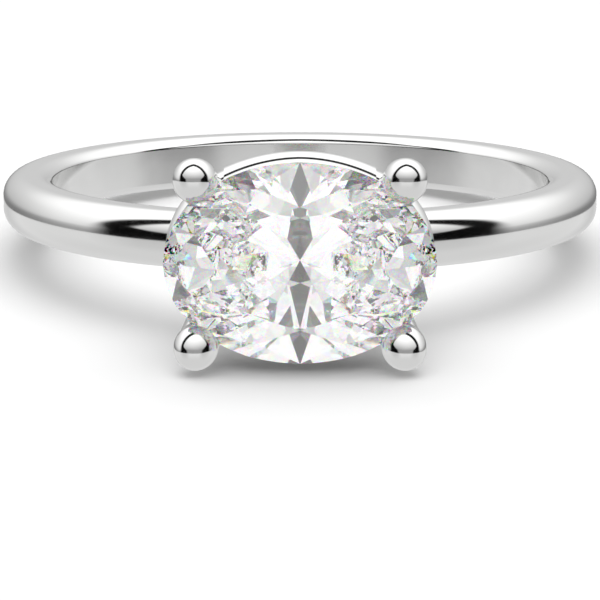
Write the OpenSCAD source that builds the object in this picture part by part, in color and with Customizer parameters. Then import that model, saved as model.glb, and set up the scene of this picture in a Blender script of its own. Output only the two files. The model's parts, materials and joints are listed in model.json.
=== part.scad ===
// An east west ring. A plain round band carries an oval stone, set with its length across the finger
// in four round prongs over a gallery rail. The ring lies on its side, as it would by itself:
// on the lower side of its head and the back of the band. Millimetres, +Z up from the surface.

/* [Band] */
// Diameter of the finger hole
hole_d = 17.3; // [14:0.1:22]
// Width of the band along the finger, which is the side of its rounded square wire
band_w = 1.87; // [1.6:0.01:2.6]
// Radius of the wire's corners, in percent of its half width
band_round_pct = 78; // [60:1:98]
// Depth by which the wire is flattened on the finger side
band_flat = 0.17; // [0.1:0.01:0.3]
// Radius of the two eased inner edges
band_edge_r = 0.12; // [0.05:0.01:0.3]

/* [Stone] */
// Length of the stone, across the finger
stone_l = 8.53; // [7:0.05:11]
// Width of the stone, along the finger
stone_w = 6.36; // [5.5:0.05:8]
// Height of the crown, from the girdle to the table
crown_h = 0.9; // [0.5:0.01:1.2]
// Thickness of the girdle where it is thinnest
girdle_t = 0.03; // [0.02:0.01:0.2]
// Depth of the pavilion, from the girdle to the culet
pavilion_h = 2.85; // [2:0.05:3.5]
// Width of the table, in percent of the stone
table_pct = 61; // [50:1:70]
// Distance of the star facets' points from the centre, in percent
star_pct = 83; // [78:1:90]
// Distance of the lower halves' points from the centre, in percent
lower_pct = 25; // [10:1:40]
// Gap between the culet and the band's outer face
culet_gap = 0.06; // [0.06:0.02:2]

/* [Prongs] */
// Diameter of the prong wire
prong_d = 1.3; // [1:0.02:1.6]
// Diameter of the bead on a prong's end, in percent of the wire's
tip_pct = 108; // [101:1:120]
// Length of the bead along the prong, in percent of its diameter
tip_long_pct = 113; // [102:1:150]
// Radius of the bead's two ends, in percent of its own radius
tip_end_pct = 92; // [60:1:96]
// Turn of each prong round the stone, from its length, in degrees of the stretched circle
prong_turn = 45.5; // [38:0.1:52]
// Distance of a bead's centre outside the girdle
tip_out = 0.45; // [0.3:0.01:0.7]
// Height of a bead's centre over the middle of the girdle
tip_up = 0.14; // [0.1:0.01:0.6]
// Distance of a prong's foot from the middle of the band, across the finger
foot_x = 2; // [1.2:0.02:2.4]
// Distance of a prong's foot from the middle of the band, along the finger
foot_y = 0.36; // [0.1:0.02:0.6]
// Clearance between the stone and its seat in the prongs
seat_gap = 0.03; // [0.02:0.01:0.08]

/* [Gallery] */
// Diameter of the rail's wire
rail_d = 1.24; // [0.8:0.02:1.3]
// Diameter of the two thicker arcs, above and below the stone
arc_d = 1.38; // [1.3:0.02:1.6]
// Length of each thicker arc between its flat ends
arc_l = 4.8; // [3:0.02:5]
// Distance of the rail's centreline inside the girdle's outline
rail_in = 0.6; // [0.4:0.01:0.8]
// Distance of the rail below the middle of the girdle
rail_down = 1.9; // [1.6:0.02:2.2]
// Radius of the rail's ends, in percent of its half width
rail_end_pct = 84; // [70:1:92]

/* [Hidden] */
$fn = 96;

// The band's section, as distances from the finger's axis, and from the wire's middle to its corners' centres
hole_r = hole_d / 2;
wire_r = band_w / 2;
wire_c = hole_r + wire_r - band_flat;
band_r = wire_c + wire_r;
corner_r = wire_r * band_round_pct / 100;
corner_c = wire_r - corner_r;

// The rounding of the inner edges: its centre, and where it meets the wire's corners
flat_to_c = corner_r - band_flat;
edge_y = corner_c + sqrt(pow(corner_r - band_edge_r, 2) - pow(flat_to_c - band_edge_r, 2));
edge_turn = acos((flat_to_c - band_edge_r) / (corner_r - band_edge_r));
edge_steps = 6;

// A brilliant's facets: eight mains and eight kites, and the halves between them
facet_n = 8;
facet_turn = 360 / facet_n;
girdle_n = 96;
table_r = table_pct / 100;
star_r = star_pct / 100;
lower_r = lower_pct / 100;
kite_slope = crown_h / (1 - table_r);
star_z = kite_slope * (1 - star_r * cos(facet_turn / 2));
upper_slope = star_z / (cos(facet_turn / 4) * (1 - star_r));
lower_z = pavilion_h * (1 - lower_r * cos(facet_turn / 2));
lower_slope = lower_z / (cos(facet_turn / 4) * (1 - lower_r));

// The girdle is thickest at the halves' points, above and below its middle
girdle_dip = 1 - cos(facet_turn / 4);
girdle_top = girdle_t / 2 + upper_slope * girdle_dip;
girdle_low = girdle_t / 2 + lower_slope * girdle_dip;

// Heights over the finger's axis, in the head's own frame: x across the finger, y along it, z out
culet_z = band_r + culet_gap;
girdle_z = culet_z + pavilion_h + girdle_low;
tip_z = girdle_z + tip_up;
rail_z = girdle_z - rail_down;
foot_z = wire_c;

// A bead's centre stands off the girdle's outline, square to it
prong_r = prong_d / 2;
half_l = stone_l / 2;
half_w = stone_w / 2;
outline_normal = unit([cos(prong_turn) / half_l, sin(prong_turn) / half_w, 0]);
tip_c = [half_l * cos(prong_turn), half_w * sin(prong_turn), tip_z] + tip_out * outline_normal;
foot_c = [foot_x, foot_y, foot_z];
prong_axis = unit(tip_c - foot_c);
prong_len = norm(tip_c - foot_c);

// The bead: a wide arc round its middle that runs into a small sphere at each end
bead_r = prong_r * tip_pct / 100;
bead_h = bead_r * tip_long_pct / 100;
dome_r = bead_r * tip_end_pct / 100;
dome_side_r = (pow(bead_r, 2) + pow(bead_h - dome_r, 2) - pow(dome_r, 2)) / (2 * (bead_r - dome_r));
dome_turn = atan2(bead_h - dome_r, dome_side_r - bead_r);

// The rail is an oval of four arcs
rail_a = half_l - rail_in;
rail_b = half_w - rail_in;
rail_end_r = rail_b * rail_end_pct / 100;
rail_long_r = (pow(rail_a - rail_end_r, 2) + pow(rail_b, 2) - pow(rail_end_r, 2)) / (2 * (rail_b - rail_end_r));
rail_end_c = rail_a - rail_end_r;
rail_long_c = rail_long_r - rail_b;
rail_turn = atan2(rail_end_c, rail_long_c);
arc_turn = asin(arc_l / (2 * rail_long_r - arc_d));

// The ring's tilt at rest, found by halving, and the origin under the middle of its box
max_tilt = 30;
tilt_steps = 40;
tilt = rest_tilt(-max_tilt, max_tilt, tilt_steps);
floor_z = band_low(tilt);
front_y = max(tip_reach([0, -cos(tilt), -sin(tilt)]), table_reach(tilt));
back_y = (wire_c + corner_c) * cos(tilt) + corner_c * abs(sin(tilt)) + corner_r;

// Room that cutting shapes take beyond the ring
past = 40;

function unit(v) = v / norm(v);

// How far a lower bead reaches from the finger's axis towards d, given in the ring's frame
function tip_reach(d) =
    let (
        axis = [prong_axis.x, -prong_axis.z, -prong_axis.y],
        centre = [tip_c.x, -tip_c.z, -tip_c.y],
        along = abs(axis * d),
        across = sqrt(1 - along * along),
        reach = asin(along) > dome_turn
            ? (bead_h - dome_r) * along + dome_r
            : (bead_r - dome_side_r) * across + dome_side_r
    )
    centre * d + reach;

// How far the band, a lower bead, the lower gallery arc and the stone reach down at a tilt,
// and how far the table reaches out
function band_low(t) = (wire_c + corner_c) * abs(sin(t)) + corner_c * cos(t) + corner_r;
function tip_low(t) = tip_reach([0, sin(t), -cos(t)]);
function arc_low(t) = rail_b * cos(t) - rail_z * sin(t) + arc_d / 2;
function table_reach(t) = (girdle_z + girdle_top + crown_h) * cos(t) + half_w * table_r * abs(sin(t));
function stone_low(t) = half_w * cos(t) - (girdle_z - girdle_low) * sin(t);
function head_low(t) = max(tip_low(t), arc_low(t), stone_low(t));
function rest_tilt(low, high, n) =
    let (middle = (low + high) / 2)
    n == 0 ? middle
    : head_low(middle) > band_low(middle) ? rest_tilt(middle, high, n - 1)
    : rest_tilt(low, middle, n - 1);

// Turns the ring's frame, with the finger along Z, to the way it rests
module at_rest() {
    translate([0, (front_y - back_y) / 2, floor_z]) rotate([-tilt, 0, 0]) children();
}

// Sets the head's frame on the front of the ring
module on_head() {
    rotate([90, 0, 0]) children();
}

module rounded_square() {
    for (x = [-1, 1], y = [-1, 1]) translate([x, y] * corner_c) circle(r = corner_r);
    square([band_w, 2 * corner_c], center = true);
    square([2 * corner_c, band_w], center = true);
}

module band_section() {
    meet_x = wire_c - corner_c - corner_r * cos(edge_turn);
    intersection() {
        translate([wire_c, 0]) rounded_square();
        translate([meet_x, -wire_r]) square([band_w, band_w]);
    }
    polygon([
        for (side = [-1, 1], i = [0 : edge_steps])
            let (step = side < 0 ? edge_steps - i : i, a = edge_turn * step / edge_steps)
            [
                hole_r + band_edge_r - band_edge_r * cos(a),
                side * (edge_y + band_edge_r * sin(a))
            ]
    ]);
}

module band() {
    rotate_extrude() band_section();
}

// The bead stands on the origin, with its length along Z
module bead() {
    side_h = dome_side_r * sin(dome_turn);
    rotate_extrude()
        intersection() {
            union() {
                intersection() {
                    translate([bead_r - dome_side_r, 0]) circle(r = dome_side_r);
                    square([2 * bead_r, 2 * side_h], center = true);
                }
                for (end = [-1, 1]) translate([0, end * (bead_h - dome_r)]) circle(r = dome_r);
            }
            translate([0, -bead_h]) square([bead_r, 2 * bead_h]);
        }
}

// Sets what stands on the origin on each foot, leaning as the prongs do
module on_feet() {
    for (mx = [0, 1], my = [0, 1])
        mirror([mx, 0, 0]) mirror([0, my, 0])
            translate(foot_c)
                rotate([0, acos(prong_axis.z), atan2(prong_axis.y, prong_axis.x)]) children();
}

// The wires end level with the girdle, under their beads
module prongs() {
    difference() {
        on_feet() cylinder(r = prong_r, h = prong_len);
        translate([0, 0, girdle_z + past / 2]) cube(past, center = true);
    }
    on_feet() translate([0, 0, prong_len]) bead();
}

// A bent length of wire about Z, from one angle on by another
module bent_wire(r, wire_d, from, by) {
    rotate([0, 0, from]) rotate_extrude(angle = by) translate([r, 0]) circle(d = wire_d);
}

module rail() {
    translate([0, 0, rail_z])
        for (turn = [0, 180]) rotate([0, 0, turn]) {
            translate([0, -rail_long_c, 0])
                bent_wire(rail_long_r, rail_d, 90 - rail_turn, 2 * rail_turn);
            translate([rail_end_c, 0, 0])
                bent_wire(rail_end_r, rail_d, rail_turn - 90, 180 - 2 * rail_turn);
        }
}

// The thicker arcs follow the rail's long sides and end in flat faces square to the stone's length
module gallery_arcs() {
    translate([0, 0, rail_z])
        intersection() {
            for (turn = [0, 180]) rotate([0, 0, turn])
                translate([0, -rail_long_c, 0])
                    bent_wire(rail_long_r, arc_d, 90 - arc_turn, 2 * arc_turn);
            cube([arc_l, past, 2 * arc_d], center = true);
        }
}

// How far the girdle's edges draw together at an angle, for each unit of the halves' slope
function edge_dip(t) = cos(t % (facet_turn / 2) - facet_turn / 4) - cos(facet_turn / 4);

module brilliant(grow = 0) {
    a = half_l + grow;
    b = half_w + grow;
    top = girdle_top + grow;
    low = -girdle_low - grow;
    per = girdle_n / facet_n;
    stars = [
        for (i = [0 : facet_n - 1])
            let (t = facet_turn * (i + 0.5))
            [a * star_r * cos(t), b * star_r * sin(t), top + star_z]
    ];
    lowers = [
        for (i = [0 : facet_n - 1])
            let (t = facet_turn * (i + 0.5))
            [a * lower_r * cos(t), b * lower_r * sin(t), low - lower_z]
    ];
    table = [
        for (i = [0 : facet_n - 1])
            let (t = facet_turn * i)
            [a * table_r * cos(t), b * table_r * sin(t), top + crown_h]
    ];
    upper_edge = [
        for (i = [0 : girdle_n - 1])
            let (t = 360 * i / girdle_n)
            [a * cos(t), b * sin(t), top - upper_slope * edge_dip(t)]
    ];
    lower_edge = [
        for (i = [0 : girdle_n - 1])
            let (t = 360 * i / girdle_n)
            [a * cos(t), b * sin(t), low + lower_slope * edge_dip(t)]
    ];
    culet = [[0, 0, low - pavilion_h]];
    star_0 = facet_n;
    lower_0 = star_0 + facet_n;
    upper_edge_0 = lower_0 + facet_n;
    lower_edge_0 = upper_edge_0 + girdle_n;
    culet_0 = lower_edge_0 + girdle_n;
    half = per / 2;
    faces = [
        [for (i = [facet_n - 1 : -1 : 0]) i],
        for (i = [0 : facet_n - 1]) each
            let (
                next = (i + 1) % facet_n,
                last = (i + facet_n - 1) % facet_n,
                kite_point = i * per,
                half_point = kite_point + half,
                next_point = next * per
            )
            [
                [i, next, star_0 + i],
                [i, star_0 + i, upper_edge_0 + kite_point, star_0 + last],
                [culet_0, lower_0 + last, lower_edge_0 + kite_point, lower_0 + i],
                [star_0 + i, for (k = [half : -1 : 0]) upper_edge_0 + kite_point + k],
                [
                    star_0 + i,
                    upper_edge_0 + next_point,
                    for (k = [half - 1 : -1 : 0]) upper_edge_0 + half_point + k
                ],
                [lower_0 + i, for (k = [0 : half]) lower_edge_0 + kite_point + k],
                [
                    lower_0 + i,
                    for (k = [0 : half - 1]) lower_edge_0 + half_point + k,
                    lower_edge_0 + next_point
                ]
            ],
        for (i = [0 : girdle_n - 1])
            let (next = (i + 1) % girdle_n)
            [upper_edge_0 + i, upper_edge_0 + next, lower_edge_0 + next, lower_edge_0 + i]
    ];
    translate([0, 0, girdle_z])
        polyhedron(concat(table, stars, lowers, upper_edge, lower_edge, culet), faces);
}

module ring_mount() {
    color("lightgray") at_rest() {
        band();
        difference() {
            on_head() {
                prongs();
                rail();
                gallery_arcs();
            }
            cylinder(r = hole_r, h = past, center = true);
            on_head() brilliant(seat_gap);
        }
    }
}

module oval_stone() {
    color("azure") at_rest() on_head() brilliant();
}

ring_mount();
oval_stone();
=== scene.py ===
import json
from math import acos, asin, atan2, cos, pi, radians, sin, sqrt

import bmesh
import bpy
import numpy as np
from mathutils import Matrix, Vector


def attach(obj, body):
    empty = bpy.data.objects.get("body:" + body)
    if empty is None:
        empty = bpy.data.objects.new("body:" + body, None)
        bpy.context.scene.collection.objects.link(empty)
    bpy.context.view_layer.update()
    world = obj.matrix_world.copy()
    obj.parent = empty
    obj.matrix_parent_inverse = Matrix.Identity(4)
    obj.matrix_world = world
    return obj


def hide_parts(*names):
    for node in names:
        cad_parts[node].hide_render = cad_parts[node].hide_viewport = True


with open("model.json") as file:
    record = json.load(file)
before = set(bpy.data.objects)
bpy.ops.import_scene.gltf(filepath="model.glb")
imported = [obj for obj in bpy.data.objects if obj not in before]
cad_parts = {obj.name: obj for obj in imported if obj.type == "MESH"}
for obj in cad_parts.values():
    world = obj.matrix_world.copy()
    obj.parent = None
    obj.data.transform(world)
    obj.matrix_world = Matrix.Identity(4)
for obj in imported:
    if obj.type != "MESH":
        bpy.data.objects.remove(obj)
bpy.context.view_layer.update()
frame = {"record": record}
scene = bpy.context.scene

# The finger hole's mount in the record says how the ring lies: its centre, and its axis, which is
# the ring's own Z. In that frame the stone is towards -Y. Sizes are in millimetres.
hole = next(m for m in frame["record"]["mounts"] if m["name"] == "finger_bore")
tilt = atan2(hole["axis"][1], hole["axis"][2])
mm = 0.001
atRest = Matrix.Translation(hole["pos_m"]) @ Matrix.Rotation(-tilt, 4, "X") @ Matrix.Scale(mm, 4)
onHead = Matrix.Rotation(pi / 2, 4, "X")  # the head's own frame: X across the finger, Y along it, Z out


def newMesh(name, points, faces, smooth=True):
    mesh = bpy.data.meshes.new(name)
    mesh.from_pydata([tuple(p) for p in points], [], [tuple(f) for f in faces])
    mesh.polygons.foreach_set("use_smooth", [smooth] * len(mesh.polygons))
    piece = bpy.data.objects.new(name, mesh)
    scene.collection.objects.link(piece)
    return piece


def newPath(name, points):
    curve = bpy.data.curves.new(name, "CURVE")
    curve.dimensions = "3D"
    spline = curve.splines.new("POLY")
    spline.points.add(len(points) - 1)
    for place, point in zip(spline.points, points):
        place.co = (*point, 1)
    spline.use_cyclic_u = True
    piece = bpy.data.objects.new(name, curve)
    scene.collection.objects.link(piece)
    return piece


def addNode(tree, kind, links=None, **values):
    node = tree.nodes.new(kind)
    for key, value in values.items():
        setattr(node, key, value)
    for key, value in (links or {}).items():
        if isinstance(value, bpy.types.NodeSocket):
            tree.links.new(value, node.inputs[key])
        else:
            node.inputs[key].default_value = value
    return node


def newTree(name, inputs):
    tree = bpy.data.node_groups.new(name, "GeometryNodeTree")
    for label, kind in inputs.items():
        tree.interface.new_socket(label, in_out="INPUT", socket_type="NodeSocket" + kind)
    tree.interface.new_socket("Geometry", in_out="OUTPUT", socket_type="NodeSocketGeometry")
    return tree, tree.nodes.new("NodeGroupInput").outputs


def endTree(tree, geometry, material):
    out = tree.nodes.new("NodeGroupOutput")
    smooth = addNode(tree, "GeometryNodeSetShadeSmooth", {"Geometry": geometry})
    real = addNode(tree, "GeometryNodeRealizeInstances", {"Geometry": smooth.outputs[0]})
    painted = addNode(tree, "GeometryNodeSetMaterial", {"Geometry": real.outputs[0], "Material": material})
    tree.links.new(painted.outputs[0], out.inputs[0])


# Runs a tree with its inputs set by the sockets' identifiers, and keeps the result as a plain mesh
def growMesh(name, tree, values):
    holder = newMesh(name + "Holder", [], [])
    modifier = holder.modifiers.new("nodes", "NODES")
    modifier.node_group = tree
    for item in tree.interface.items_tree:
        if item.in_out == "INPUT":
            modifier[item.identifier] = values[item.name]
    bpy.context.view_layer.update()
    graph = bpy.context.evaluated_depsgraph_get()
    mesh = bpy.data.meshes.new_from_object(holder.evaluated_get(graph), depsgraph=graph)
    holder.modifiers.remove(modifier)
    bpy.data.objects.remove(holder)
    mesh.name = name
    piece = bpy.data.objects.new(name, mesh)
    scene.collection.objects.link(piece)
    return piece


# Polished white gold, with faint changes in its polish
metalLook = dict(color=(0.69, 0.69, 0.685, 1), roughLow=0.075, roughHigh=0.105, polishSize=900,
                 polishDetail=3.0, polishFrom=0.3, polishTo=0.7, hazeSize=5200, hazeDetail=2.0, bump=0.012,
                 bumpDepth=0.000004)


def makeMetal():
    material = bpy.data.materials.new("whiteGold")
    material.use_nodes = True
    tree = material.node_tree
    shader = tree.nodes["Principled BSDF"]
    m = metalLook
    shader.inputs["Base Color"].default_value = m["color"]
    shader.inputs["Metallic"].default_value = 1
    place = addNode(tree, "ShaderNodeTexCoord").outputs["Object"]
    polish = addNode(tree, "ShaderNodeTexNoise", {"Vector": place, "Scale": m["polishSize"],
                                                  "Detail": m["polishDetail"]})
    rough = addNode(tree, "ShaderNodeMapRange", {"Value": polish.outputs[0], "From Min": m["polishFrom"],
                                                 "From Max": m["polishTo"], "To Min": m["roughLow"],
                                                 "To Max": m["roughHigh"]})
    haze = addNode(tree, "ShaderNodeTexNoise", {"Vector": place, "Scale": m["hazeSize"],
                                                "Detail": m["hazeDetail"]})
    bump = addNode(tree, "ShaderNodeBump", {"Height": haze.outputs[0], "Strength": m["bump"],
                                            "Distance": m["bumpDepth"]})
    tree.links.new(rough.outputs[0], shader.inputs["Roughness"])
    tree.links.new(bump.outputs[0], shader.inputs["Normal"])
    return material


whiteGold = makeMetal()

# The band's wire is a square with round corners, flattened a little on the finger side
band = dict(holeR=8.65, half=0.935, cornerR=0.7293, flat=0.17, edgeR=0.12, crown=0.5, steps=400,
            cornerSteps=20, edgeSteps=7)


def bandRules():
    b = band
    b["cornerC"] = b["half"] - b["cornerR"]
    b["wireC"] = b["holeR"] + b["half"] - b["flat"]
    b["outR"] = b["wireC"] + b["half"]
    b["edgeC"] = b["holeR"] + b["edgeR"]
    toEdge, toCorner = b["wireC"] - b["edgeC"] - b["cornerC"], b["cornerR"] - b["edgeR"]
    b["edgeY"] = b["cornerC"] + sqrt(toCorner ** 2 - toEdge ** 2)
    b["edgeTurn"] = acos(toEdge / toCorner)


bandRules()


# The wire's section round its middle, +X away from the finger
def bandSection():
    b = band
    c, quarter = b["cornerC"], pi / 2
    side = [(b["edgeC"] - b["wireC"] - b["edgeR"] * cos(a), b["edgeY"] + b["edgeR"] * sin(a))
            for a in np.linspace(0, b["edgeTurn"], b["edgeSteps"])[:-1]]
    side += [(-c - b["cornerR"] * cos(a), c + b["cornerR"] * sin(a))
             for a in np.linspace(b["edgeTurn"], quarter, b["cornerSteps"])]
    side += [(c - b["cornerR"] * cos(a), c + b["cornerR"] * sin(a))
             for a in np.linspace(quarter, 2 * quarter, 2 * b["cornerSteps"])]
    return [(x, y, 0) for x, y in side] + [(x, -y, 0) for x, y in side[::-1]]


def bandTree():
    tree, given = newTree("bandTree", {"Wire Middle": "Float", "Steps": "Int", "Section": "Object",
                                       "Material": "Material"})
    path = addNode(tree, "GeometryNodeCurvePrimitiveCircle", {"Resolution": given["Steps"],
                                                              "Radius": given["Wire Middle"]})
    section = addNode(tree, "GeometryNodeObjectInfo", {"Object": given["Section"]})
    swept = addNode(tree, "GeometryNodeCurveToMesh", {"Curve": path.outputs["Curve"],
                                                      "Profile Curve": section.outputs["Geometry"]})
    endTree(tree, swept.outputs[0], given["Material"])
    return tree


section = newPath("bandSection", bandSection())
bandPiece = growMesh("bandPiece", bandTree(), {"Wire Middle": band["wireC"], "Steps": band["steps"],
                                               "Section": section, "Material": whiteGold})
bpy.data.objects.remove(section)
print("band", len(bandPiece.data.polygons))

stone = dict(length=8.53, width=6.36, crown=0.9, girdle=0.03, pavilion=2.85, table=0.61, star=0.83,
             lower=0.25, culetGap=0.06, facets=8, girdleSteps=192, seatGap=0.03)


def stoneRules():
    s = stone
    s["turn"] = 2 * pi / s["facets"]
    s["starZ"] = s["crown"] / (1 - s["table"]) * (1 - s["star"] * cos(s["turn"] / 2))
    s["upperSlope"] = s["starZ"] / (cos(s["turn"] / 4) * (1 - s["star"]))
    s["lowerZ"] = s["pavilion"] * (1 - s["lower"] * cos(s["turn"] / 2))
    s["lowerSlope"] = s["lowerZ"] / (cos(s["turn"] / 4) * (1 - s["lower"]))
    dip = 1 - cos(s["turn"] / 4)
    s["top"] = s["girdle"] / 2 + s["upperSlope"] * dip
    s["low"] = s["girdle"] / 2 + s["lowerSlope"] * dip
    s["z"] = band["outR"] + s["culetGap"] + s["pavilion"] + s["low"]


stoneRules()


# A brilliant of eight mains, eight kites, eight stars, a table and the halves, stretched to an oval
def brilliant(grow=0.0):
    s = stone
    n, per = s["facets"], s["girdleSteps"] // s["facets"]
    a, b = s["length"] / 2 + grow, s["width"] / 2 + grow
    top, low = s["top"] + grow, -s["low"] - grow

    def place(share, turns, z):
        t = s["turn"] * turns
        return (a * share * cos(t), b * share * sin(t), s["z"] + z)

    def dip(i):
        t = s["turn"] * i / per
        return cos(t % (s["turn"] / 2) - s["turn"] / 4) - cos(s["turn"] / 4)

    ring = range(n * per)
    points = [place(s["table"], i, top + s["crown"]) for i in range(n)]
    points += [place(s["star"], i + 0.5, top + s["starZ"]) for i in range(n)]
    points += [place(s["lower"], i + 0.5, low - s["lowerZ"]) for i in range(n)]
    points += [place(1, i / per, top - s["upperSlope"] * dip(i)) for i in ring]
    points += [place(1, i / per, low + s["lowerSlope"] * dip(i)) for i in ring]
    points += [place(0, 0, low - s["pavilion"])]
    star, lower, up = n, 2 * n, 3 * n
    down, culet = up + n * per, up + 2 * n * per
    faces = [list(range(n))]
    for i in range(n):
        after, before = (i + 1) % n, (i - 1) % n
        kite, half, ending = i * per, i * per + per // 2, after * per
        first = list(range(kite, half + 1))
        second = list(range(half, (i + 1) * per)) + [ending]
        faces.append([i, star + i, after])
        faces.append([i, star + before, up + kite, star + i])
        faces.append([culet, lower + i, down + kite, lower + before])
        faces += [[star + i] + [up + k for k in side] for side in (first, second)]
        faces += [[lower + i] + [down + k for k in side[::-1]] for side in (first, second)]
    for i in ring:
        after = (i + 1) % (n * per)
        faces.append([up + i, down + i, down + after, up + after])
    return points, faces


stonePiece = newMesh("ovalStone", *brilliant(), smooth=False)
stonePiece.data.transform(atRest @ onHead)
print("stone", len(stonePiece.data.polygons))

# Four leaning wires end level with the girdle, each under a bead: a wide arc that runs into two small domes
prong = dict(r=0.65, beadR=0.702, beadH=0.79326, domeR=0.64584, turn=45.5, out=0.45, up=0.14, footX=2.0,
             footY=0.36, roundSteps=80, sideRows=24, domeRows=12)


def prongRules():
    p, s = prong, stone
    t, a, b = radians(p["turn"]), s["length"] / 2, s["width"] / 2
    outward = Vector((cos(t) / a, sin(t) / b, 0)).normalized()
    p["end"] = Vector((a * cos(t), b * sin(t), s["z"] + p["up"])) + p["out"] * outward
    p["foot"] = Vector((p["footX"], p["footY"], band["wireC"]))
    p["axis"] = (p["end"] - p["foot"]).normalized()
    p["domeC"] = p["beadH"] - p["domeR"]
    p["sideR"] = (p["beadR"] ** 2 + p["domeC"] ** 2 - p["domeR"] ** 2) / (2 * (p["beadR"] - p["domeR"]))
    p["domeTurn"] = atan2(p["domeC"], p["sideR"] - p["beadR"])
    across = p["axis"].cross(Vector((0, 0, 1))).normalized()
    p["spokes"] = (across, p["axis"].cross(across))


prongRules()


def closedTube(rings, tips=None):
    n = len(rings[0])
    points = [point for ring in rings for point in ring]
    faces = [[k * n + i, k * n + (i + 1) % n, (k + 1) * n + (i + 1) % n, (k + 1) * n + i]
             for k in range(len(rings) - 1) for i in range(n)]
    last = (len(rings) - 1) * n
    if tips:
        low, high = len(points), len(points) + 1
        points += tips
        faces += [[i, low, (i + 1) % n] for i in range(n)]
        faces += [[last + i, last + (i + 1) % n, high] for i in range(n)]
    else:
        faces += [list(range(n))[::-1], list(range(last, last + n))]
    return points, faces


def prongSpokes():
    one, other = prong["spokes"]
    n = prong["roundSteps"]
    return [one * cos(2 * pi * i / n) + other * sin(2 * pi * i / n) for i in range(n)]


def prongWire():
    p = prong
    rings = [[], []]
    for spoke in prongSpokes():
        start = p["foot"] + spoke * p["r"]
        rings[0].append(start)
        rings[1].append(start + p["axis"] * ((stone["z"] - start.z) / p["axis"].z))
    return closedTube(rings)


def prongBead():
    p = prong
    rows = [(p["domeR"] * cos(a), -p["domeC"] + p["domeR"] * sin(a))
            for a in np.linspace(-pi / 2, -p["domeTurn"], p["domeRows"])[1:-1]]
    rows += [(p["beadR"] - p["sideR"] + p["sideR"] * cos(a), p["sideR"] * sin(a))
             for a in np.linspace(-p["domeTurn"], p["domeTurn"], p["sideRows"])]
    rows += [(r, -z) for r, z in rows[p["domeRows"] - 3::-1]]
    rings = [[p["end"] + spoke * r + p["axis"] * z for spoke in prongSpokes()] for r, z in rows]
    return closedTube(rings, [p["end"] - p["axis"] * p["beadH"], p["end"] + p["axis"] * p["beadH"]])


# Sets a shape and its mirror images in the four quarters round the head's axis
def quartersTree():
    tree, given = newTree("quartersTree", {"Shape": "Object", "Material": "Material"})
    grid = addNode(tree, "GeometryNodeMeshGrid", {"Size X": 2.0, "Size Y": 2.0, "Vertices X": 2,
                                                  "Vertices Y": 2})
    place = addNode(tree, "GeometryNodeInputPosition")
    mirror = addNode(tree, "ShaderNodeVectorMath", {0: place.outputs[0], 1: (0, 0, 1)}, operation="ADD")
    shape = addNode(tree, "GeometryNodeObjectInfo", {"Object": given["Shape"], "As Instance": True})
    stood = addNode(tree, "GeometryNodeInstanceOnPoints", {"Points": grid.outputs[0],
                                                           "Instance": shape.outputs["Geometry"],
                                                           "Scale": mirror.outputs[0]})
    back = addNode(tree, "ShaderNodeVectorMath", {0: place.outputs[0], "Scale": -1.0}, operation="SCALE")
    middle = addNode(tree, "GeometryNodeTranslateInstances", {"Instances": stood.outputs[0],
                                                              "Translation": back.outputs[0],
                                                              "Local Space": False})
    endTree(tree, middle.outputs[0], given["Material"])
    return tree


# Parts a mesh of equal separate shapes
def apart(piece, count):
    mesh, made = piece.data, []
    points, faces = [v.co[:] for v in mesh.vertices], [list(f.vertices) for f in mesh.polygons]
    per, each = len(points) // count, len(faces) // count
    for k in range(count):
        own = [[v - k * per for v in face] for face in faces[k * each:(k + 1) * each]]
        made.append(newMesh(piece.name, points[k * per:(k + 1) * per], own))
    bpy.data.objects.remove(piece)
    return made


def inQuarters(name, points, faces):
    shape = newMesh(name + "Shape", points, faces)
    piece = growMesh(name, quartersTree(), {"Shape": shape, "Material": whiteGold})
    bpy.data.objects.remove(shape)
    return apart(piece, 4)


wirePieces = inQuarters("prongWire", *prongWire())
beadPieces = inQuarters("prongBead", *prongBead())
print("prongs", sum(len(piece.data.polygons) for piece in (*wirePieces, *beadPieces)))

rail = dict(r=0.62, arcR=0.69, arcLength=4.8, inside=0.6, down=1.9, endShare=0.84, roundSteps=56,
            longSteps=56, endSteps=48, arcSteps=48)


def railRules():
    r = rail
    a, b = stone["length"] / 2 - r["inside"], stone["width"] / 2 - r["inside"]
    r["z"] = stone["z"] - r["down"]
    r["endR"] = b * r["endShare"]
    r["longR"] = ((a - r["endR"]) ** 2 + b ** 2 - r["endR"] ** 2) / (2 * (b - r["endR"]))
    r["endC"] = a - r["endR"]
    r["longC"] = r["longR"] - b
    r["turn"] = atan2(r["endC"], r["longC"])


railRules()


def railPath():
    r = rail
    half = [(r["endC"] + r["endR"] * cos(t), r["endR"] * sin(t))
            for t in np.linspace(-pi / 2 + r["turn"], pi / 2 - r["turn"], r["endSteps"], endpoint=False)]
    half += [(r["longR"] * cos(t), -r["longC"] + r["longR"] * sin(t))
             for t in np.linspace(pi / 2 - r["turn"], pi / 2 + r["turn"], r["longSteps"], endpoint=False)]
    return [(side * x, side * y, r["z"]) for side in (1, -1) for x, y in half]


def wireTree():
    tree, given = newTree("wireTree", {"Path": "Object", "Wire Radius": "Float", "Round Steps": "Int",
                                       "Material": "Material"})
    path = addNode(tree, "GeometryNodeObjectInfo", {"Object": given["Path"]})
    circle = addNode(tree, "GeometryNodeCurvePrimitiveCircle", {"Resolution": given["Round Steps"],
                                                                "Radius": given["Wire Radius"]})
    swept = addNode(tree, "GeometryNodeCurveToMesh", {"Curve": path.outputs["Geometry"],
                                                      "Profile Curve": circle.outputs["Curve"]})
    endTree(tree, swept.outputs[0], given["Material"])
    return tree


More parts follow.
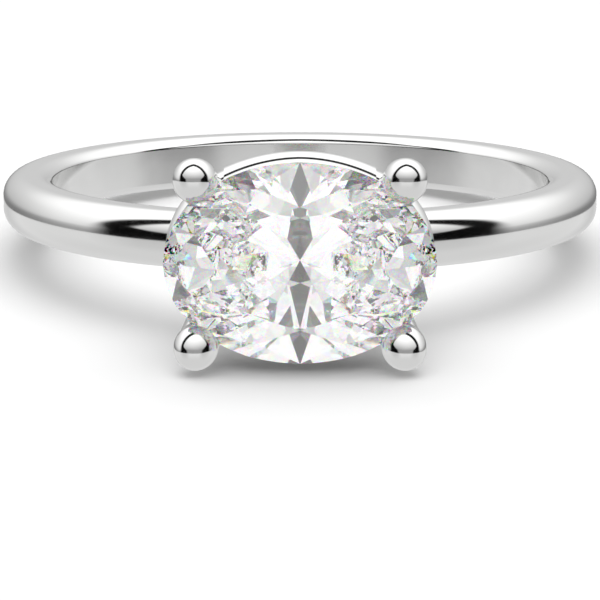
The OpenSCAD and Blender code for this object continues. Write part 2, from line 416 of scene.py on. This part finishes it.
# A stretch of thicker wire over a long side, whose ends are cut square to the stone's length
def galleryArc(side):
    r = rail
    rings = []
    for k in range(r["arcSteps"] + 1):
        share = 2 * k / r["arcSteps"] - 1
        ring = []
        for i in range(r["roundSteps"]):
            a = 2 * pi * i / r["roundSteps"]
            reach = r["longR"] + r["arcR"] * cos(a)
            t = share * asin(r["arcLength"] / 2 / reach)
            x, y = reach * sin(t), reach * cos(t) - r["longC"]
            ring.append((side * x, side * y, r["z"] + r["arcR"] * sin(a)))
        rings.append(ring)
    return closedTube(rings)


path = newPath("railPath", railPath())
railPiece = growMesh("railPiece", wireTree(), {"Path": path, "Wire Radius": rail["r"],
                                               "Round Steps": rail["roundSteps"], "Material": whiteGold})
bpy.data.objects.remove(path)
arcPieces = [newMesh("arcPiece", *galleryArc(side)) for side in (1, -1)]
print("rail", len(railPiece.data.polygons))


def fingerShape():
    steps, reach, r = 256, 10, band["holeR"]
    turns = [2 * pi * i / steps for i in range(steps)]
    return closedTube([[(r * cos(t), r * sin(t), z) for t in turns] for z in (-reach, reach)])


def outward(piece):
    shape = bmesh.new()
    shape.from_mesh(piece.data)
    bmesh.ops.remove_doubles(shape, verts=shape.verts, dist=1e-6)
    bmesh.ops.recalc_face_normals(shape, faces=shape.faces)
    shape.to_mesh(piece.data)
    shape.free()


def cut(piece, other, how):
    step = piece.modifiers.new(how, "BOOLEAN")
    step.object, step.operation, step.solver = other, how, "MANIFOLD"
    bpy.context.view_layer.update()
    graph = bpy.context.evaluated_depsgraph_get()
    mesh = bpy.data.meshes.new_from_object(piece.evaluated_get(graph), depsgraph=graph)
    piece.modifiers.remove(step)
    piece.data = mesh
    bpy.data.objects.remove(other)


# The metal is one solid. While it is joined, a face's material number tells the shape that it came from.
seatShape = newMesh("seatShape", *brilliant(stone["seatGap"]), smooth=False)
holeShape = newMesh("holeShape", *fingerShape())
for piece in (*wirePieces, *beadPieces, railPiece, *arcPieces, seatShape):
    piece.data.transform(onHead)
sources = {"band": [bandPiece], "wire": wirePieces, "bead": beadPieces, "rail": [railPiece], "arc": arcPieces,
           "cut": [seatShape, holeShape]}
for number, pieces in enumerate(sources.values()):
    for piece in pieces:
        outward(piece)
        piece.data.materials.clear()
        for name in sources:
            piece.data.materials.append(whiteGold)
        piece.data.polygons.foreach_set("material_index", [number] * len(piece.data.polygons))
head = wirePieces[0]
for other in (*wirePieces[1:], *beadPieces, railPiece, *arcPieces):
    cut(head, other, "UNION")
cut(head, holeShape, "DIFFERENCE")
cut(head, seatShape, "DIFFERENCE")
cut(bandPiece, head, "UNION")
mount = bandPiece
mount.name = mount.data.name = "ringMount"
print("mount", len(mount.data.polygons))


# The normals come from the exact shapes, so that the seams between them don't bend the reflections
def exactNormals(mesh):
    vertex = np.zeros(len(mesh.loops), int)
    mesh.loops.foreach_get("vertex_index", vertex)
    co = np.zeros(len(mesh.vertices) * 3)
    mesh.vertices.foreach_get("co", co)
    p = co.reshape(-1, 3)[vertex]
    kind, total = np.zeros(len(mesh.polygons), int), np.zeros(len(mesh.polygons), int)
    mesh.polygons.foreach_get("material_index", kind)
    mesh.polygons.foreach_get("loop_total", total)
    flat = np.zeros(len(mesh.polygons) * 3)
    mesh.polygons.foreach_get("normal", flat)
    flat = np.repeat(flat.reshape(-1, 3), total, 0)
    kind = np.repeat(kind, total)
    names = list(sources)
    normal = flat.copy()
    toRing = np.array(onHead.to_3x3()).T
    inHead = p @ toRing.T
    b, g, r = band, prong, rail
    square, close = 0.999, 0.0001  # a flat end's normal along its axis, and its distance from its plane

    def put(mask, value):
        normal[mask] = value / np.linalg.norm(value, axis=1)[:, None]

    mask = kind == names.index("band")
    q = p[mask]
    away = np.hypot(q[:, 0], q[:, 1])
    spoke = np.stack([q[:, 0] / away, q[:, 1] / away, np.zeros(len(q))], 1)
    up = np.array([0, 0, 1.0])
    x, y = away - b["wireC"], q[:, 2]

    def inSection(x, y):
        return spoke * x[:, None] + up * y[:, None]

    c = b["cornerC"]
    wireX, wireY = x - np.clip(x, -c, c), y - np.clip(y, -c, c)
    crowned = (1 - b["crown"]) * wireY / b["cornerR"] + b["crown"] * y / b["half"]
    crowned = np.clip(np.where(x > 0, crowned, wireY / b["cornerR"]), -1, 1)
    wire = inSection(np.sqrt(1 - crowned ** 2) * np.where(x > 0, 1, np.sign(wireX)), crowned)
    eased = inSection(away - b["edgeC"], y - np.sign(y) * b["edgeY"])
    inner = (x < 0) & (np.arctan2(np.abs(y) - c, -c - x) < b["edgeTurn"])
    value = np.where(inner[:, None], eased, wire)
    put(mask, np.where((inner & (np.abs(y) < b["edgeY"]))[:, None], -spoke, value))

    for name in ("wire", "bead"):
        mask = kind == names.index(name)
        q = inHead[mask]
        sign = np.stack([np.sign(q[:, 0]), np.sign(q[:, 1]), np.ones(len(q))], 1)
        q = q * sign - np.array(g["end"])
        axis = np.array(g["axis"])
        along = q @ axis
        radial = q - along[:, None] * axis
        out = np.linalg.norm(radial, axis=1)
        value = radial
        if name == "bead":
            share = 1 - (g["beadR"] - g["sideR"]) / np.maximum(out, 1e-9)
            side = radial * share[:, None] + axis * along[:, None]
            dome = radial + axis * (along - np.sign(along) * g["domeC"])[:, None]
            value = np.where((np.abs(along) > g["sideR"] * sin(g["domeTurn"]))[:, None], dome, side)
        put(mask, (value * sign) @ toRing)
    level = (kind == names.index("wire")) & (np.abs(flat @ toRing.T[:, 2]) > square)
    normal[level] = flat[level]

    for name in ("rail", "arc"):
        mask = kind == names.index(name)
        q = inHead[mask]
        x, y = np.abs(q[:, 0]), np.abs(q[:, 1])
        onEnd = np.arctan2(x, y + r["longC"]) > r["turn"]
        middle = np.where(onEnd[:, None], np.array([r["endC"], 0.0]), np.array([0.0, -r["longC"]]))
        radius = np.where(onEnd, r["endR"], r["longR"])
        offset = np.stack([x, y], 1) - middle
        length = np.linalg.norm(offset, axis=1)
        nearest = offset * ((length - radius) / length)[:, None]
        value = np.column_stack([nearest * np.sign(q[:, :2]), q[:, 2] - r["z"]])
        put(mask, value @ toRing)
    ends = (kind == names.index("arc")) & (np.abs(np.abs(p[:, 0]) - r["arcLength"] / 2) < close)
    ends &= np.abs(flat[:, 0]) > square
    normal[ends] = flat[ends]
    mesh.normals_split_custom_set(normal.tolist())


exactNormals(mount.data)
mount.data.transform(atRest)
mount.data.polygons.foreach_set("material_index", [0] * len(mount.data.polygons))
while len(mount.data.materials) > 1:
    mount.data.materials.pop()

diamondLook = dict(ior=2.417, spread=0.014)


def makeDiamond():
    material = bpy.data.materials.new("diamond")
    material.use_nodes = True
    tree = material.node_tree
    tree.nodes.clear()
    out = addNode(tree, "ShaderNodeOutputMaterial")
    ior, spread = diamondLook["ior"], diamondLook["spread"]
    enter = addNode(tree, "ShaderNodeBsdfRefraction", {"Color": (1, 1, 1, 1), "Roughness": 0.0, "IOR": ior})
    leave = None
    for color, change in (((1, 0, 0, 1), -spread), ((0, 1, 0, 1), 0.0), ((0, 0, 1, 1), spread)):
        ray = addNode(tree, "ShaderNodeBsdfRefraction", {"Color": color, "Roughness": 0.0,
                                                         "IOR": ior + change})
        leave = ray if leave is None else addNode(tree, "ShaderNodeAddShader",
                                                  {0: leave.outputs[0], 1: ray.outputs[0]})
    side = addNode(tree, "ShaderNodeNewGeometry")
    through = addNode(tree, "ShaderNodeMixShader", {0: side.outputs["Backfacing"], 1: enter.outputs[0],
                                                    2: leave.outputs[0]})
    mirror = addNode(tree, "ShaderNodeBsdfAnisotropic", {"Color": (1, 1, 1, 1), "Roughness": 0.0})
    fresnel = addNode(tree, "ShaderNodeFresnel", {"IOR": ior})
    mixed = addNode(tree, "ShaderNodeMixShader", {0: fresnel.outputs[0], 1: through.outputs[0],
                                                  2: mirror.outputs[0]})
    tree.links.new(mixed.outputs[0], out.inputs["Surface"])
    return material


stonePiece.data.materials.append(makeDiamond())

for piece, node, slot in ((mount, "ring_mount", "white_gold"), (stonePiece, "oval_stone", "diamond")):
    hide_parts(node)
    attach(piece, "root")

# The floor's sizes are in metres
floorLook = dict(radius=0.12, sides=128, color=0.8, cardWide=0.005, cardNear=-0.016, cardFar=-0.11,
                 cardHeight=0.00002, cardColor=0.06)


def makeMatt(name, level):
    material = bpy.data.materials.new(name)
    material.use_nodes = True
    tree = material.node_tree
    tree.nodes.clear()
    matt = addNode(tree, "ShaderNodeBsdfDiffuse", {"Color": (level, level, level, 1)})
    addNode(tree, "ShaderNodeOutputMaterial", {"Surface": matt.outputs[0]})
    return material


# The metal doesn't mirror the pale floor: below its horizon it has the studio's own levels. Only light
# through the stone meets the narrow black card that lies on the floor in front.
def makeFloor():
    f = floorLook
    bpy.ops.mesh.primitive_circle_add(vertices=f["sides"], radius=f["radius"], fill_type="NGON")
    floor = bpy.context.object
    floor.name = "floor"
    floor.data.materials.append(makeMatt("paleFloor", f["color"]))
    floor.visible_glossy = False
    x, z = f["cardWide"] / 2, f["cardHeight"]
    corners = [(-x, f["cardFar"], z), (x, f["cardFar"], z), (x, f["cardNear"], z), (-x, f["cardNear"], z)]
    card = newMesh("blackCard", corners, [(0, 1, 2, 3)], smooth=False)
    card.data.materials.append(makeMatt("blackCard", f["cardColor"]))
    card.visible_camera = card.visible_glossy = card.visible_diffuse = card.visible_shadow = False


makeFloor()

# Round the metal a white card stands in front, a white tent behind and above, and the gap between them is
# black. They stand square to the ring's own plane. Side is a direction's distance from the arch that runs
# along the gap. Levels round the ring are pairs of the turn from the viewer, in degrees, and the light there.
# The stone has levels of its own with a dark slot in front, and the floor is lit from above.
studio = dict(archWide=0.28, archBack=0.02, narrowFrom=0.05, narrowTo=0.42,
              cardNear=(0.48, 0.05), cardFar=(0.66, 0.13), tentNear=(0.02, 0.12), tentFar=(0.28, 0.23),
              cardLow=0.22, cardRise=1.55, cardLeast=0.45, tentLow=0.95, tentRise=0.9,
              rearDim=0.37, rearFrom=0.1, rearTo=0.9, dimFrom=0.3, dimTo=0.65,
              gap=0.004, horizon=-0.141, edge=0.003, seam=0.5, seamFrom=-0.13, seamTo=0.08, backdrop=1.1,
              below=((0, 1.05), (25, 1.05), (49, 0.78), (65, 0.78), (90, 0.98), (140, 0.95), (156, 0.7)),
              lowest=0.9, lowestFrom=0.15, lowestTo=0.75,
              stoneRound=((0, 0.5), (22, 0.58), (31, 1.12), (58, 1.08), (74, 0.78), (100, 0.92), (140, 0.55)),
              slotFrom=0.075, slotTo=0.105, slotLevel=0.08,
              topFrom=0.5, topTo=0.95, topLight=2.1, topFill=0.35)


def makeStudio():
    world = bpy.data.worlds.new("studio")
    scene.world = world
    world.use_nodes = True
    tree = world.node_tree
    tree.nodes.clear()
    s = studio

    def math(kind, *values):
        return addNode(tree, "ShaderNodeMath", dict(enumerate(values)), operation=kind).outputs[0]

    def ramp(value, low, high, a=0.0, b=1.0):
        levels = {"Value": value, "From Min": low, "From Max": high, "To Min": a, "To Max": b}
        return addNode(tree, "ShaderNodeMapRange", levels, interpolation_type="SMOOTHSTEP").outputs[0]

    def around(turn, levels):
        node = addNode(tree, "ShaderNodeValToRGB", {"Fac": math("DIVIDE", turn, pi)})
        stops = node.color_ramp.elements
        most = max(level for degrees, level in levels)
        while len(stops) < len(levels):
            stops.new(0.5)
        for stop, (degrees, level) in zip(stops, levels):
            stop.position = degrees / 180
            stop.color = (level / most, level / most, level / most, 1)
        return math("MULTIPLY", node.outputs["Color"], most)

    def sheet(up, side, near, far):
        edges = [ramp(up, s["narrowFrom"], s["narrowTo"], *ends) for ends in (near, far)]
        return ramp(side, *edges)

    def pick(factor, a, b):
        return addNode(tree, "ShaderNodeMix", {"Factor": factor, "A": a, "B": b}).outputs[0]

    place = addNode(tree, "ShaderNodeTexCoord")
    turned = addNode(tree, "ShaderNodeVectorRotate", {"Vector": place.outputs["Generated"], "Angle": tilt},
                     rotation_type="X_AXIS")
    way = addNode(tree, "ShaderNodeSeparateXYZ", {0: turned.outputs[0]}).outputs
    across, ahead, up = math("ABSOLUTE", way[0]), math("MULTIPLY", way[1], -1.0), way[2]
    turn = math("ARCTAN2", across, ahead)
    side = math("SUBTRACT", ahead, math("MULTIPLY", across, s["archWide"]))
    side = math("ADD", side, math("MULTIPLY", up, s["archBack"]))
    card = sheet(up, side, s["cardNear"], s["cardFar"])
    tent = sheet(up, math("MULTIPLY", side, -1.0), s["tentNear"], s["tentFar"])
    cardLight = math("ADD", math("MULTIPLY", up, s["cardRise"]), s["cardLow"])
    card = math("MULTIPLY", card, math("MAXIMUM", cardLight, s["cardLeast"]))
    dim = math("MULTIPLY", ramp(way[1], s["rearFrom"], s["rearTo"]),
               ramp(up, s["dimFrom"], s["dimTo"], s["rearDim"], 0.0))
    white = math("SUBTRACT", math("ADD", math("MULTIPLY", up, s["tentRise"]), s["tentLow"]), dim)
    white = math("MULTIPLY", white, ramp(up, s["seamFrom"], s["seamTo"], 1 - s["seam"], 1.0))
    bright = math("ADD", math("ADD", card, math("MULTIPLY", tent, white)), s["gap"])
    floorGlow = pick(ramp(up, -s["lowestTo"], -s["lowestFrom"]), s["lowest"], around(turn, s["below"]))
    metal = pick(ramp(up, s["horizon"] - s["edge"], s["horizon"] + s["edge"]), floorGlow, bright)
    slot = ramp(across, s["slotFrom"], s["slotTo"], s["slotLevel"])
    throughStone = math("MULTIPLY", around(turn, s["stoneRound"]), slot)
    height = addNode(tree, "ShaderNodeSeparateXYZ", {0: place.outputs["Generated"]}).outputs[2]
    matt = ramp(height, s["topFrom"], s["topTo"], s["topFill"], s["topLight"] + s["topFill"])
    eye = addNode(tree, "ShaderNodeLightPath").outputs
    shown = pick(eye["Is Glossy Ray"], matt, metal)
    shown = pick(eye["Is Transmission Ray"], shown, throughStone)
    shown = pick(eye["Is Camera Ray"], shown, s["backdrop"])
    light = addNode(tree, "ShaderNodeBackground", {"Color": (1, 1, 1, 1), "Strength": shown})
    addNode(tree, "ShaderNodeOutputWorld", {"Surface": light.outputs[0]})
    world.cycles.sampling_method = "NONE"


makeStudio()

# The camera stands as the photograph's did to the ring: distance and height from the ring's own frame
shot = dict(distance=119.4, height=9.0, pitch=10.737, lens=204.41, sensor=36, clipNear=0.005, clipFar=10)
cameraData = bpy.data.cameras.new("camera")
camera = bpy.data.objects.new("camera", cameraData)
scene.collection.objects.link(camera)
scene.camera = camera
cameraData.lens, cameraData.sensor_width = shot["lens"], shot["sensor"]
cameraData.clip_start, cameraData.clip_end = shot["clipNear"], shot["clipFar"]
high = radians(shot["height"])
camera.location = atRest @ Vector((0, -shot["distance"] * cos(high), shot["distance"] * sin(high)))
camera.rotation_euler = (pi / 2 - radians(shot["pitch"]) - tilt, 0, 0)

scene.view_settings.view_transform = "Standard"
bounces = 32
scene.cycles.max_bounces = scene.cycles.glossy_bounces = scene.cycles.transmission_bounces = bounces
scene.cycles.diffuse_bounces = 3
scene.cycles.use_denoising = True
